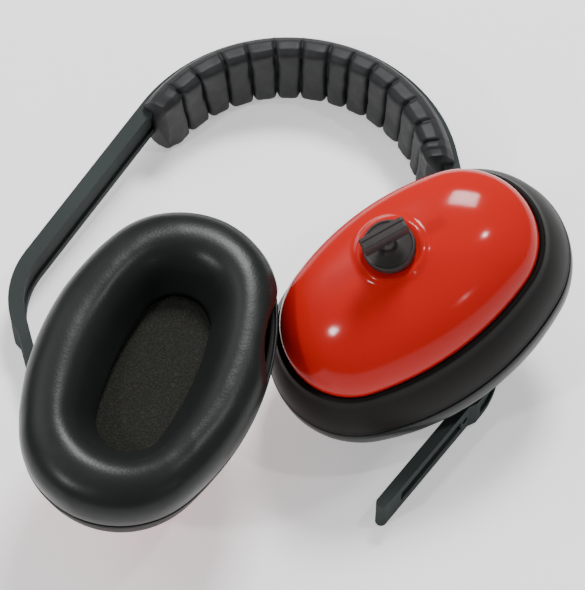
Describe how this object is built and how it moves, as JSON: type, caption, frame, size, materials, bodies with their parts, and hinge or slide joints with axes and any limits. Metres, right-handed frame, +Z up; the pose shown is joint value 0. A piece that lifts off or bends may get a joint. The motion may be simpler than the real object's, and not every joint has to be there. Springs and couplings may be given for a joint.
{
  "type": "earmuff hearing protector",
  "caption": "Over-the-head earmuff: slotted one-piece headband with ribbed pad, and oval ear cups with soft cushions on turn-lock knobs, laid down with the cups unhooked.",
  "frame": {"origin": "centre of the bounding box at table level, object lying down", "axes": "+Z up from the table, +Y towards the crown of the headband, +X towards the right-hand cup"},
  "size_m": [0.1924, 0.2336, 0.0998],
  "materials": {
    "band_plastic": "satin moulded plastic",
    "pad_vinyl": "matte ribbed vinyl",
    "soft_foam": "open-cell foam",
    "red_shell": "high gloss",
    "ring_plastic": "satin",
    "cushion_vinyl": "soft vinyl, fine grain",
    "absorber_foam": "open-cell foam",
    "knob_plastic": "moulded",
    "washer_steel": "bright",
    "bush_plastic": "natural acetal"
  },
  "bodies": {
    "headband": {"headband": "band_plastic", "headband_pad_cover": "pad_vinyl", "headband_pad_foam": "soft_foam"},
    "right_knob": {"right_knob": "knob_plastic", "right_knob_washer": "washer_steel"},
    "right_seat": {"right_knob_bush": "bush_plastic"},
    "right_cup": {"right_outer_shell": "red_shell", "right_base_ring": "ring_plastic", "right_cushion_plate": "ring_plastic", "right_cushion_foam": "soft_foam", "right_cushion_cover": "cushion_vinyl", "right_absorber_foam": "absorber_foam"},
    "left_knob": {"left_knob": "knob_plastic", "left_knob_washer": "washer_steel"},
    "left_seat": {"left_knob_bush": "bush_plastic"},
    "left_cup": {"left_outer_shell": "red_shell", "left_base_ring": "ring_plastic", "left_cushion_plate": "ring_plastic", "left_cushion_foam": "soft_foam", "left_cushion_cover": "cushion_vinyl", "left_absorber_foam": "absorber_foam"}
  },
  "joints": [
    {"name": "right_cup_height", "type": "slide", "parent": "headband", "child": "right_knob", "axis": [0.4462, 0.8935, 0.0509], "range_m": [0, 0.025]},
    {"name": "right_cup_turn", "type": "hinge", "parent": "right_knob", "child": "right_seat", "pos_m": [0.03781, -0.01199, 0.07545], "axis": [-0.1323, -0.3319, 0.934], "range_deg": [0, 22]},
    {"name": "right_cup_tilt", "type": "hinge", "parent": "right_seat", "child": "right_cup", "pos_m": [0.03781, -0.01199, 0.07545], "axis": [0.6935, 0.6423, 0.3264], "range_deg": [-4, 0]},
    {"name": "left_cup_height", "type": "slide", "parent": "headband", "child": "left_knob", "axis": [-0.4462, 0.8935, 0.0509], "range_m": [0, 0.025]},
    {"name": "left_cup_turn", "type": "hinge", "parent": "left_knob", "child": "left_seat", "pos_m": [-0.02628, -0.05683, 0.02408], "axis": [-0.0366, 0.1297, -0.9909], "range_deg": [-25, 0]},
    {"name": "left_cup_tilt", "type": "hinge", "parent": "left_seat", "child": "left_cup", "pos_m": [-0.02628, -0.05683, 0.02408], "axis": [0.1855, 0.9752, 0.1208], "range_deg": [-4, 0]}
  ]
}
